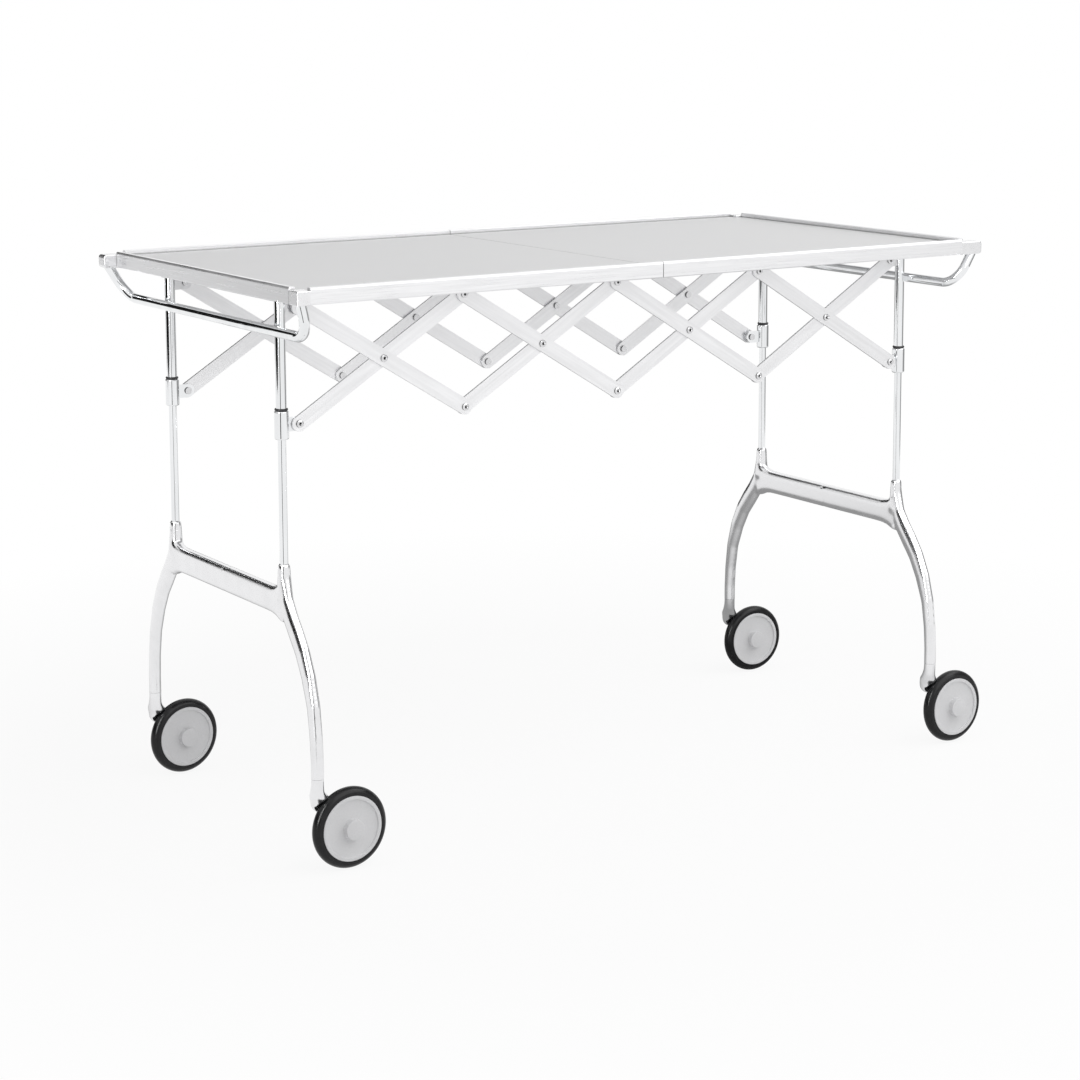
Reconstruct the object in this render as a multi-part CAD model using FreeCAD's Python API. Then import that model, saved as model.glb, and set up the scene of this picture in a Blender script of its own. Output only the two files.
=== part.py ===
import FreeCAD, Part
import math
import os

os.makedirs("parts", exist_ok=True)
V = FreeCAD.Vector
X_RIGHT = V(1, 0, 0)
Y_BACK = V(0, 1, 0)
Z_UP = V(0, 0, 1)

# Folding serving table on castors. All sizes in millimetres.
# X runs along the table, Y across it (the near side is -Y), Z is up.
# The origin is on the floor, in the middle of the table's outer box.

# --- Top -------------------------------------------------------------
TABLE_HEIGHT = 700.0        # floor to the top of the edge rail
RAIL_END_X = 506.0          # middle to the outer face of an end rail
RAIL_SIDE_Y = 259.0         # middle to the outer face of a side rail
RAIL_HEIGHT = 20.0
RAIL_FLANGE = 17.0          # width of the flange that carries the panel
RAIL_WALL = 2.6
RAIL_BEAD = 8.0             # width of the raised bead on top of the rail
RAIL_EDGE = 1.2             # rounding of the rail's outer corners
PANEL_DROP = 6.0            # panel surface below the top of the rail
PANEL_THICK = 12.0
PANEL_REBATE = 0.8          # depth of the step that slips under the bead
SEAM_GAP = 0.8              # gap between the two halves of the top
BLOCK_SHORT_X = 17.0        # short corner block, along X
BLOCK_SHORT_Y = 21.0        # short corner block, along Y
BLOCK_LONG_X = 34.0         # long corner block, along X
BLOCK_LONG_Y = 18.0         # long corner block, along Y
BLOCK_TOP_DROP = 3.5        # top of a corner block below the rail top
BLOCK_FOOT = 0.5            # how far a block hangs below the rail
BLOCK_ROUND = 4.0           # rounding of a long block's free end
BLOCK_EDGE = 1.2            # rounding of the other outer corners

# --- Bail handle and hinges of each half top --------------------------
BAR_R = 6.3                 # tube radius of the bail
BAR_DROP = 60.0             # bar centre below the top of the rail
BAR_INSET = 18.5            # bar centre in from the end rail's outer face
BAIL_BEND_R = 28.0
BAIL_ENTRY = 9.0            # how deep a leg sits in its corner block
BAIL_SHORT_IN = 9.0         # leg centre in from the short block's end face
BAIL_LONG_IN = 11.0         # leg centre in from the long block's end face
BAIL_SIDE_IN = 9.0          # leg centre in from the side rail's outer face
SEAM_DROP = 24.0            # fold axis of the seam hinges below the rail top
SEAM_HINGE_Y = 95.0         # middle of a seam hinge from the centre line
SEAM_HINGE_LEN = 64.0
KNUCKLE_R = 4.0
SEAM_PIN_R = 2.0
LEAF_THICK = 2.0
LEAF_REACH = 42.0

# --- End frames -------------------------------------------------------
COLUMN_Y = 151.0
TUBE_R = 6.4                # upper, thicker tube of a column
ROD_R = 4.9                 # lower rod that the sleeve runs on
ROD_LAP = 40.0              # rod length inside the upper tube
BAR_GAP = 1.3               # air between the bail's bar and a column
CRADLE_Y = 14.0             # width of the seat that holds the bar
CRADLE_Z = 9.0
CROSS_RAIL_H = 8.0
CROSS_RAIL_W = 19.0
CROSS_RAIL_OVER = 9.0       # cross rail past the column's centre
SLEEVE_R = 8.6
SLEEVE_LEN = 34.0
SLEEVE_ROUND = 1.8
STOP_RING_R = 8.0
STOP_RING_H = 2.6
RING_CHAMFER = 0.7

# --- End castings -----------------------------------------------------
CROSSBAR_TOP = 328.0        # floor to the top of the crossbar
CROSSBAR_HEIGHT = 31.0
CASTING_THICK = 14.0        # thickness of the casting along X
CASTING_ROUND = 4.6         # rounding of the crossbar's long edges
SOCKET_RISE = 29.0          # socket mouth above the crossbar's top
SOCKET_R = 7.0
SOCKET_FLARE = 1.6
SOCKET_DEPTH = 30.0
LEG_HEAD_RISE = 14.0        # first leg section above the crossbar's top
LEG_WIDTH = 27.0            # widest section of a leg
LEG_WAIST = 0.9             # how much thinner a leg is half way down
CASTOR_Y = 227.0
FOOT_R = 7.4                # round foot of the leg at the castor seam

# --- Scissor lattice --------------------------------------------------
CELLS = 4
PIVOT_INSET = 21.5          # end pivots in from the column's centre
PIVOT_DROP = 34.5           # upper pivots below the top of the rail
LATTICE_DEPTH = 139.0       # upper pivots to lower pivots when open
BAR_WIDTH = 19.0
BAR_THICK = 3.0
LAYER_GAP = 0.4
EAR_THICK = 3.0
EAR_OUT = 1.8               # face of an ear outside the column's centre
EAR_SHY = 1.0               # ear edge inside the edge of a bar
BOSS_SHY = 2.0              # spacer boss inside the edge of its ear
TAB_BACK = 2.0              # bracket tab behind its pivot
RIVET_R = 3.0
RIVET_HEAD_R = 4.5
RIVET_HEAD_H = 1.8
RIVET_BORE_R = 1.9          # mouth of the hollow in a rivet's head

# --- Castors ----------------------------------------------------------
WHEEL_R = 49.5
TYRE_WIDTH = 16.0
TYRE_DEPTH = 9.9            # tread to the tyre's seat on the hub
TREAD_CROWN = 5.6           # height of the rounded tread over its sides
DISC_FACE = 8.0             # disc face from the middle plane of the wheel
LIP_WIDTH = 4.4
LIP_HEIGHT = 1.1
BUTTON_R = 12.2
BUTTON_HEIGHT = 7.5
HUB_BOSS_R = 9.0
TRAIL = 42.0                # wheel axle behind the swivel axis
STEM_R = 3.0
STEM_LEN = 28.0
SEAM_RISE = 17.5            # castor seam above the top of the wheel
NECK_DROP = 43.0            # length of the neck below the seam
WHEEL_SIDE_GAP = 4.4        # disc's rear face to the arm
ARM_PLATE_T = 6.0
ARM_BOSS_R = 12.0
AXLE_R = 4.0
AXLE_GRIP = 3.0             # length of the axle inside the hub's front
TYRE_CLEAR = 2.2            # air between the tyre and the arm above it
# How far each castor happens to be turned when the table stands open.
REST_TURN = {"front_left": 2.0, "back_left": 6.0,
             "front_right": 2.0, "back_right": -2.0}

# --- Fits -------------------------------------------------------------
RUN_FIT = 0.06              # radial clearance of every turning fit
SEAT_FIT = 0.05             # radial clearance of pieces fixed together
SLIP_FIT = 0.1              # clearance of the panel and its rails
FACE_GAP = 0.3              # between faces that pass each other
THROUGH = 1.0               # how far a cutter stands out of what it cuts
OVAL_LEAN = 48.0            # how the ovals of the casting and neck blunt

# --- Derived places ---------------------------------------------------
RAIL_LOW_Z = TABLE_HEIGHT - RAIL_HEIGHT
PANEL_TOP_Z = TABLE_HEIGHT - PANEL_DROP
PANEL_LOW_Z = PANEL_TOP_Z - PANEL_THICK
RAIL_LIP_Z = PANEL_TOP_Z - PANEL_REBATE + SLIP_FIT
BLOCK_LOW_Z = RAIL_LOW_Z - BLOCK_FOOT
BLOCK_TOP_Z = TABLE_HEIGHT - BLOCK_TOP_DROP
BLOCK_IN_X = RAIL_END_X - BLOCK_SHORT_X
BAR_X = RAIL_END_X - BAR_INSET
BAR_Z = TABLE_HEIGHT - BAR_DROP
BAIL_LEG_Y = RAIL_SIDE_Y - BAIL_SIDE_IN
SEAM_AXIS_Z = TABLE_HEIGHT - SEAM_DROP
COLUMN_X = BAR_X - BAR_R - BAR_GAP - TUBE_R
PIVOT_END_X = COLUMN_X - PIVOT_INSET
CELL_X = 2.0 * PIVOT_END_X / CELLS
PIVOT_TOP_Z = TABLE_HEIGHT - PIVOT_DROP
PIVOT_LOW_Z = PIVOT_TOP_Z - LATTICE_DEPTH
PIVOT_MID_Z = (PIVOT_TOP_Z + PIVOT_LOW_Z) / 2.0
RAIL_SEAT_Z = PANEL_LOW_Z - FACE_GAP
CROSS_LOW_Z = RAIL_SEAT_Z - CROSS_RAIL_H
SLEEVE_TOP_Z = PIVOT_LOW_Z + SLEEVE_LEN / 2.0
TUBE_FOOT_Z = SLEEVE_TOP_Z + FACE_GAP + STOP_RING_H
SOCKET_TOP_Z = CROSSBAR_TOP + SOCKET_RISE
CROSSBAR_LOW = CROSSBAR_TOP - CROSSBAR_HEIGHT
CASTOR_SEAM_Z = 2.0 * WHEEL_R + SEAM_RISE
EAR_Y = COLUMN_Y + EAR_OUT
INNER_Y = EAR_Y + LAYER_GAP + BAR_THICK
OUTER_Y = INNER_Y + LAYER_GAP + BAR_THICK
TAIL_BAR_Y = INNER_Y - BAR_THICK - FACE_GAP
TAIL_EAR_Y = EAR_Y - EAR_THICK - FACE_GAP
DISC_R = WHEEL_R - TYRE_DEPTH
DISC_REAR = DISC_FACE + LIP_HEIGHT
ARM_PLATE_Y = DISC_REAR + WHEEL_SIDE_GAP
# The table is drawn about the middle of its top, then moved so that the
# origin is the middle of the space it takes up on the floor.
ORIGIN_X = ((COLUMN_X + TRAIL + WHEEL_R) - (BLOCK_IN_X + BLOCK_LONG_X)) / 2.0
SIDES = (("front", -1), ("back", 1))
ENDS = (("left", -1), ("right", 1))


def save(name, shapes):
    """Write one node; separate solids stay separate."""
    if not isinstance(shapes, (list, tuple)):
        shapes = [shapes]
    solids = []
    for shape in shapes:
        solids.extend(shape.Solids)
    for solid in solids:
        solid.translate(V(-ORIGIN_X, 0, 0))
    out = solids[0] if len(solids) == 1 else Part.makeCompound(solids)
    out.exportStep("parts/%s.step" % name)


def box(x0, x1, y0, y1, z0, z1):
    """Box between two corners, given in any order."""
    xa, xb = min(x0, x1), max(x0, x1)
    ya, yb = min(y0, y1), max(y0, y1)
    za, zb = min(z0, z1), max(z0, z1)
    return Part.makeBox(xb - xa, yb - ya, zb - za, V(xa, ya, za))


def rod_z(x, y, z0, z1, r):
    """Upright cylinder."""
    return Part.makeCylinder(r, abs(z1 - z0), V(x, y, min(z0, z1)), Z_UP)


def bore_z(x, y, z0, z1, r):
    """Upright cutter that stands out at both ends."""
    return rod_z(x, y, min(z0, z1) - THROUGH, max(z0, z1) + THROUGH, r)


def rod_y(x, y0, y1, z, r):
    """Cylinder along Y."""
    return Part.makeCylinder(r, abs(y1 - y0), V(x, min(y0, y1), z), Y_BACK)


def bore_y(x, y0, y1, z, r):
    """Cutter along Y that stands out at both ends."""
    return rod_y(x, min(y0, y1) - THROUGH, max(y0, y1) + THROUGH, z, r)


def spun(points, place, axis):
    """Solid of revolution; points are (radius, distance along the axis)."""
    pts = [V(r, 0, h) for r, h in points]
    face = Part.Face(Part.makePolygon(pts + [pts[0]]))
    solid = face.revolve(V(0, 0, 0), Z_UP, 360)
    solid.Placement = FreeCAD.Placement(place, FreeCAD.Rotation(Z_UP, axis))
    return solid


def rounded_rect(centre, across, along, width, depth, corner):
    """Closed wire: width along 'across', depth along 'along'."""
    a = across.normalize()
    b = along.normalize()
    hw = width / 2.0
    hd = depth / 2.0
    r = min(corner, hw * 0.96, hd * 0.96)
    k = r * (1 - math.sqrt(0.5))

    def at(u, v):
        return centre + a * u + b * v

    edges = []
    ends = []
    for su, sv in ((1, 1), (-1, 1), (-1, -1), (1, -1)):
        near = at(su * hw, sv * (hd - r))
        far = at(su * (hw - r), sv * hd)
        mid = at(su * (hw - k), sv * (hd - k))
        if su * sv < 0:
            near, far = far, near
        ends.append((near, mid, far))
    for i, (start, mid, stop) in enumerate(ends):
        edges.append(Part.Arc(start, mid, stop).toShape())
        edges.append(Part.LineSegment(stop, ends[(i + 1) % 4][0]).toShape())
    return Part.Wire(edges)


def oval(centre, across, along, width, depth):
    """Closed oval wire of four tangent arcs, width along 'across'."""
    a = across.normalize()
    b = along.normalize()
    big = max(width, depth) / 2.0
    small = min(width, depth) / 2.0
    # The blunt and the tight arcs meet where both lean by this angle.
    lean = math.radians(45.0 + OVAL_LEAN * (big - small) / (big + small))
    swing = math.cos(lean) + math.sin(lean) - 1.0
    tight = big - math.cos(lean) * (big - small) / swing
    u = big - tight + tight * math.cos(lean)
    v = tight * math.sin(lean)
    if width < depth:
        u, v = v, u
    hw = width / 2.0
    hd = depth / 2.0
    turns = (((u, v), (0, hd), (-u, v)), ((-u, v), (-hw, 0), (-u, -v)),
             ((-u, -v), (0, -hd), (u, -v)), ((u, -v), (hw, 0), (u, v)))
    edges = []
    for turn in turns:
        spots = [centre + a * p + b * q for p, q in turn]
        edges.append(Part.Arc(*spots).toShape())
    return Part.Wire(edges)


def flat_bar(p, q, y_out, side, width, thick, hole_rs):
    """Round-ended bar from p to q in the XZ plane with a hole at each pivot.

    y_out is the distance of its outer face from the centre plane.
    """
    y_lo = min(side * y_out, side * (y_out - thick))
    dx = q[0] - p[0]
    dz = q[1] - p[1]
    length = math.hypot(dx, dz)
    plate = Part.makeBox(length, thick, width, V(0, 0, -width / 2.0))
    for x_end in (0.0, length):
        plate = plate.fuse(rod_y(x_end, 0, thick, 0, width / 2.0))
    plate = plate.removeSplitter()
    for share, r in zip((0.0, 0.5, 1.0), hole_rs):
        plate = plate.cut(bore_y(length * share, 0, thick, 0, r))
    turn = FreeCAD.Rotation(Y_BACK, -math.degrees(math.atan2(dz, dx)))
    plate.Placement = FreeCAD.Placement(V(p[0], y_lo, p[1]), turn)
    return plate


def rivet(x, z, side, y_head, y_tail):
    """Tubular rivet along Y with a hollow outer head and a plain inner head."""
    shank = abs(y_head - y_tail)
    top = shank + RIVET_HEAD_H
    pts = [(0, -RIVET_HEAD_H), (RIVET_HEAD_R, -RIVET_HEAD_H), (RIVET_HEAD_R, 0),
           (RIVET_R, 0), (RIVET_R, shank), (RIVET_HEAD_R, shank),
           (RIVET_HEAD_R, shank + RIVET_HEAD_H * 0.6),
           ((RIVET_HEAD_R + RIVET_BORE_R) / 2.0, top), (RIVET_BORE_R, top),
           (0, shank - RIVET_HEAD_H / 2.0)]
    return spun(pts, V(x, side * y_tail, z), V(0, side, 0))


def top_pivot(k):
    """Upper lattice pivot k, counted from the left end."""
    return (-PIVOT_END_X + k * CELL_X, PIVOT_TOP_Z)


def low_pivot(k):
    """Lower lattice pivot k, counted from the left end."""
    return (-PIVOT_END_X + k * CELL_X, PIVOT_LOW_Z)


# ---------------------------------------------------------------------
# Scissor lattice: in each cell an outer bar falls to the right and an
# inner bar rises to the right, and they cross at their middles.
# ---------------------------------------------------------------------
TIGHT = RIVET_R + SEAT_FIT
FREE = RIVET_R + RUN_FIT

for k in range(CELLS):
    for side_name, side in SIDES:
        outer = flat_bar(top_pivot(k), low_pivot(k + 1), OUTER_Y, side,
                         BAR_WIDTH, BAR_THICK, (TIGHT, TIGHT, TIGHT))
        save("outer_bar_%d_%s" % (k + 1, side_name), outer)
        inner = flat_bar(low_pivot(k), top_pivot(k + 1), INNER_Y, side,
                         BAR_WIDTH, BAR_THICK, (FREE, FREE, FREE))
        save("inner_bar_%d_%s" % (k + 1, side_name), inner)

# Rivets fixed in the outer bars: top end, crossing and low end.
for k in range(CELLS):
    group = []
    for side_name, side in SIDES:
        x_mid = (top_pivot(k)[0] + low_pivot(k + 1)[0]) / 2.0
        tail_top = TAIL_EAR_Y if k == 0 else TAIL_BAR_Y
        tail_low = TAIL_EAR_Y if k == CELLS - 1 else TAIL_BAR_Y
        group.append(rivet(top_pivot(k)[0], PIVOT_TOP_Z, side, OUTER_Y, tail_top))
        group.append(rivet(x_mid, PIVOT_MID_Z, side, OUTER_Y, TAIL_BAR_Y))
        group.append(rivet(low_pivot(k + 1)[0], PIVOT_LOW_Z, side, OUTER_Y, tail_low))
    save("rivets_%d" % (k + 1), group)

# Pins of the two corners where an inner bar meets a sleeve or a bracket.
end_pins = {"sleeve_pins_left": low_pivot(0), "bracket_pins_right": top_pivot(CELLS)}
for node, (x_pin, z_pin) in end_pins.items():
    group = []
    for side_name, side in SIDES:
        group.append(rivet(x_pin, z_pin, side, INNER_Y + FACE_GAP, TAIL_EAR_Y))
    save(node, group)


# ---------------------------------------------------------------------
# End frames: columns, rods, stop rings, brackets, cross rail, cradles.
# ---------------------------------------------------------------------
EAR_HALF = BAR_WIDTH / 2.0 - EAR_SHY


def ear(end, side, z, holds_outer, z_high):
    """Tab from a column towards the table's middle, without its hole.

    A tab that meets the outer bar gets a spacer boss past the inner layer.
    """
    x_eye = end * PIVOT_END_X
    y_face = side * EAR_Y
    y_rear = side * (EAR_Y - EAR_THICK)
    tab = box(x_eye, end * COLUMN_X, y_face, y_rear, z - EAR_HALF, z + EAR_HALF)
    tab = tab.fuse(rod_y(x_eye, y_face, y_rear, z, EAR_HALF))
    if z_high > z + EAR_HALF:
        x_tab = end * (PIVOT_END_X + TAB_BACK)
        tab = tab.fuse(box(x_tab, end * COLUMN_X, y_face, y_rear, z, z_high))
    tab = tab.removeSplitter()
    if holds_outer:
        y_boss = side * (OUTER_Y - BAR_THICK - FACE_GAP)
        tab = tab.fuse(rod_y(x_eye, y_rear, y_boss, z, EAR_HALF - BOSS_SHY))
    return tab


def eye(end, side, z, holds_outer):
    """Cutter for the pivot hole of an ear."""
    r = FREE if holds_outer else TIGHT
    return bore_y(end * PIVOT_END_X, side * TAIL_EAR_Y, side * OUTER_Y, z, r)


for end_name, end in ENDS:
    xc = end * COLUMN_X
    columns = []
    rods = []
    rings = []
    sleeves = []
    brackets = []
    cradles = []
    for side_name, side in SIDES:
        yc = side * COLUMN_Y
        rod_foot = SOCKET_TOP_Z - SOCKET_DEPTH
        rod_head = TUBE_FOOT_Z + ROD_LAP
        tube = rod_z(xc, yc, TUBE_FOOT_Z, CROSS_LOW_Z, TUBE_R)
        hollow = rod_z(xc, yc, TUBE_FOOT_Z - THROUGH, rod_head + FACE_GAP,
                       ROD_R + SEAT_FIT)
        columns.append(tube.cut(hollow))
        rods.append(rod_z(xc, yc, rod_foot, rod_head, ROD_R))

        ring_low = TUBE_FOOT_Z - STOP_RING_H
        ring = rod_z(xc, yc, ring_low, TUBE_FOOT_Z, STOP_RING_R)
        ring = ring.makeChamfer(RING_CHAMFER, [e for e in ring.Edges if e.Closed])
        rings.append(ring.cut(bore_z(xc, yc, ring_low, TUBE_FOOT_Z, ROD_R + SEAT_FIT)))

        # Sleeve: rounded collar on the rod with its pivot ear. The outer
        # bars reach the sleeve at the right end, the inner ones at the left.
        sleeve_low = SLEEVE_TOP_Z - SLEEVE_LEN
        body = rod_z(xc, yc, sleeve_low, SLEEVE_TOP_Z, SLEEVE_R)
        body = body.makeFillet(SLEEVE_ROUND, [e for e in body.Edges if e.Closed])
        body = body.fuse(ear(end, side, PIVOT_LOW_Z, end > 0, PIVOT_LOW_Z))
        body = body.cut(eye(end, side, PIVOT_LOW_Z, end > 0))
        sleeves.append(body.cut(bore_z(xc, yc, sleeve_low, SLEEVE_TOP_Z,
                                       ROD_R + RUN_FIT)))

        # Bracket: ear that hangs from the cross rail and seats on the tube.
        plate = ear(end, side, PIVOT_TOP_Z, end < 0, CROSS_LOW_Z)
        plate = plate.cut(eye(end, side, PIVOT_TOP_Z, end < 0))
        plate = plate.cut(box(end * (PIVOT_END_X - BAR_WIDTH), xc, side * INNER_Y,
                              side * (TAIL_EAR_Y - THROUGH), CROSS_LOW_Z, TABLE_HEIGHT))
        brackets.append(plate.cut(bore_z(xc, yc, PIVOT_LOW_Z, TABLE_HEIGHT,
                                         TUBE_R + SEAT_FIT)))

        # Cradle: half-round seat that holds the bail's bar off the column.
        seat = box(xc, end * BAR_X, yc - CRADLE_Y / 2.0, yc + CRADLE_Y / 2.0,
                   BAR_Z - CRADLE_Z / 2.0, BAR_Z + CRADLE_Z / 2.0)
        seat = seat.cut(bore_z(xc, yc, BAR_Z - CRADLE_Z, BAR_Z + CRADLE_Z,
                               TUBE_R + SEAT_FIT))
        seat = seat.cut(bore_y(end * BAR_X, yc - CRADLE_Y, yc + CRADLE_Y, BAR_Z,
                               BAR_R + RUN_FIT))
        cradles.append(seat)
    save("columns_%s" % end_name, columns)
    save("guide_rods_%s" % end_name, rods)
    save("stop_rings_%s" % end_name, rings)
    save("sleeves_%s" % end_name, sleeves)
    save("top_brackets_%s" % end_name, brackets)
    save("bar_cradles_%s" % end_name, cradles)

    reach = COLUMN_Y + CROSS_RAIL_OVER
    rail = box(xc - CROSS_RAIL_W / 2.0, xc + CROSS_RAIL_W / 2.0,
               -reach, reach, CROSS_LOW_Z, RAIL_SEAT_Z)
    upright = [e for e in rail.Edges if abs(e.tangentAt(e.FirstParameter).z) > 0.9]
    rail = rail.makeFillet(CROSS_RAIL_W / 4.0, upright)
    save("cross_rail_%s" % end_name, rail)


# ---------------------------------------------------------------------
# End casting: crossbar, two sockets and two legs that bow outwards and
# thin down to round feet at the castor seams. Each leg is lofted along
# its bow, with every section square to it.
# ---------------------------------------------------------------------
# Leg stations: share of the way out from the column to the castor, share
# of the way down from the leg's head to the seam, and how much of the
# difference between the foot and the widest section is added.
LEG = (
    (0.000, 0.000, 0.02),
    (0.053, 0.106, 0.51),
    (0.191, 0.195, 0.92),
    (0.382, 0.275, 0.96),
    (0.572, 0.359, 0.84),
    (0.759, 0.479, 0.67),
    (0.908, 0.625, 0.32),
    (0.976, 0.780, 0.15),
    (1.000, 0.914, 0.03),
    (1.000, 1.000, 0.00),
)


def leg_solid(xc, side):
    """One bowed leg between the crossbar and the castor seam."""
    head = CROSSBAR_TOP + LEG_HEAD_RISE
    spots = []
    for out, down, share in LEG:
        y = COLUMN_Y + out * (CASTOR_Y - COLUMN_Y)
        z = head + down * (CASTOR_SEAM_Z - head)
        width = 2 * FOOT_R + share * (LEG_WIDTH - 2 * FOOT_R)
        spots.append((y, z, width, down))
    wires = []
    last = len(spots) - 1
    for i, (y, z, width, down) in enumerate(spots):
        before = spots[max(i - 1, 0)]
        after = spots[min(i + 1, last)]
        dy = after[0] - before[0]
        dz = after[1] - before[1]
        if i in (0, last):
            dy = 0.0
        thick = CASTING_THICK + (2 * FOOT_R - CASTING_THICK) * down
        thick = thick - LEG_WAIST * math.sin(math.pi * down)
        centre = V(xc, side * y, z)
        wires.append(oval(centre, V(0, -dz * side, dy), X_RIGHT, width, thick))
    return Part.makeLoft(wires, True, False)


def crossbar_solid(xc):
    """Straight crossbar with swollen ends that run into the two legs."""
    mid = (CROSSBAR_TOP + CROSSBAR_LOW) / 2.0
    # Swollen end: distance past the column, height over the bar's, lift.
    swell = ((0.04, 1.70, -0.04), (-0.02, 1.46, -0.05), (-0.08, 1.16, -0.04),
             (-0.16, 1.02, -0.01), (-0.26, 1.00, 0.00))
    inner = COLUMN_Y * (1.0 + swell[-1][0])
    bar = rounded_rect(V(xc, -inner, mid), V(0, 0, 1), V(1, 0, 0), CROSSBAR_HEIGHT,
                       CASTING_THICK, CASTING_ROUND)
    solid = Part.Face(bar).extrude(V(0, 2 * inner, 0))
    for side in (-1, 1):
        wires = []
        for past, tall, lift in swell:
            centre = V(xc, side * COLUMN_Y * (1.0 + past), mid + lift * CROSSBAR_HEIGHT)
            wires.append(rounded_rect(centre, V(0, 0, 1), V(1, 0, 0),
                                      tall * CROSSBAR_HEIGHT, CASTING_THICK,
                                      CASTING_ROUND))
        solid = solid.fuse(Part.makeLoft(wires, True, False))
    return solid


for end_name, end in ENDS:
    xc = end * COLUMN_X
    casting = crossbar_solid(xc)
    cone_low = CROSSBAR_TOP - CROSSBAR_HEIGHT / 3.0
    for side_name, side in SIDES:
        casting = casting.fuse(leg_solid(xc, side))
        socket = Part.makeCone(SOCKET_R + SOCKET_FLARE, SOCKET_R, SOCKET_TOP_Z - cone_low,
                               V(xc, side * COLUMN_Y, cone_low), Z_UP)
        casting = casting.fuse(socket)
    for side_name, side in SIDES:
        casting = casting.cut(rod_z(xc, side * COLUMN_Y, SOCKET_TOP_Z - SOCKET_DEPTH,
                                    SOCKET_TOP_Z + THROUGH, ROD_R + SEAT_FIT))
        casting = casting.cut(rod_z(xc, side * CASTOR_Y, CASTOR_SEAM_Z - THROUGH,
                                    CASTOR_SEAM_Z + STEM_LEN + FACE_GAP,
                                    STEM_R + RUN_FIT))
    save("casting_%s" % end_name, casting)


# ---------------------------------------------------------------------
# Castors: a single arm behind the wheel, a disc hub and a tyre. All
# four trail towards +X with the disc facing the near side.
# ---------------------------------------------------------------------
# Neck stations: share of the neck's drop, then middle along X as a share
# of the trail, middle along Y as a share of the arm plate's distance, and
# width along X and along Y as shares of the foot.
NECK = (
    (0.00, 0.00, 0.00, 1.00, 1.00),
    (0.19, 0.01, 0.07, 1.01, 1.03),
    (0.38, 0.03, 0.25, 1.05, 1.22),
    (0.56, 0.12, 0.62, 1.35, 1.60),
    (0.75, 0.31, 0.97, 1.90, 1.80),
    (0.91, 0.38, 1.00, 2.15, 1.92),
    (1.00, 0.42, 1.02, 2.00, 1.72),
)


def castor_arm():
    """Stem, hooded neck, rear plate and axle of one castor, swivel at 0, 0."""
    seam_z = CASTOR_SEAM_Z - FACE_GAP
    wires = []
    for down, out, back, wide, deep in NECK:
        centre = V(out * TRAIL, back * ARM_PLATE_Y, seam_z - down * NECK_DROP)
        wires.append(oval(centre, V(1, 0, 0), V(0, 1, 0),
                          2 * wide * FOOT_R, 2 * deep * FOOT_R))
    body = Part.makeLoft(wires, True, False)
    # Rear plate from the neck down to the axle boss, tangent to both.
    y_in = ARM_PLATE_Y
    top = (NECK[-3][1] * TRAIL, seam_z - NECK[-3][0] * NECK_DROP, ARM_BOSS_R * 0.8)
    boss = (TRAIL, WHEEL_R, ARM_BOSS_R)
    gap = math.hypot(boss[0] - top[0], boss[1] - top[1])
    lean = math.atan2(boss[1] - top[1], boss[0] - top[0])
    tilt = math.asin((top[2] - boss[2]) / gap)
    ring = []
    for cx, cz, r in (top, boss):
        ring.append(V(cx - r * math.sin(lean + tilt), y_in, cz + r * math.cos(lean + tilt)))
    for cx, cz, r in (boss, top):
        ring.append(V(cx + r * math.sin(lean - tilt), y_in, cz - r * math.cos(lean - tilt)))
    plate = Part.Face(Part.makePolygon(ring + [ring[0]])).extrude(V(0, ARM_PLATE_T, 0))
    for cx, cz, r in (top, boss):
        plate = plate.fuse(rod_y(cx, y_in, y_in + ARM_PLATE_T, cz, r))
    body = body.fuse(plate)
    # Room for the tyre under the hood of the neck.
    room = rod_y(TRAIL, -2 * FOOT_R - THROUGH, y_in, WHEEL_R, WHEEL_R + TYRE_CLEAR)
    body = body.cut(room)
    body = body.fuse(rod_z(0, 0, seam_z - STEM_R, CASTOR_SEAM_Z + STEM_LEN, STEM_R))
    body = body.cut(bore_y(TRAIL, y_in, y_in + ARM_PLATE_T, WHEEL_R, AXLE_R + SEAT_FIT))
    axle = rod_y(TRAIL, AXLE_GRIP - DISC_FACE, y_in + ARM_PLATE_T, WHEEL_R, AXLE_R)
    return [body, axle]


def hub_solid():
    """Disc hub with a raised lip ring and a round button."""
    f = DISC_FACE
    rear = ARM_PLATE_Y - FACE_GAP
    lip = f + LIP_HEIGHT
    axle_end = f - AXLE_GRIP + FACE_GAP
    top = f + BUTTON_HEIGHT
    bore = AXLE_R + RUN_FIT
    edge = LIP_HEIGHT / 2.0
    pts = [(bore, -rear), (HUB_BOSS_R, -rear), (HUB_BOSS_R + edge, -f), (DISC_R, -f),
           (DISC_R, lip - edge), (DISC_R - edge, lip), (DISC_R - LIP_WIDTH + edge, lip),
           (DISC_R - LIP_WIDTH, f), (BUTTON_R + edge, f), (BUTTON_R, f + edge),
           (BUTTON_R - edge, top - edge), (BUTTON_R - 2 * edge, top), (0, top),
           (0, axle_end), (bore, axle_end)]
    return spun(pts, V(TRAIL, 0, WHEEL_R), V(0, -1, 0))


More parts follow.
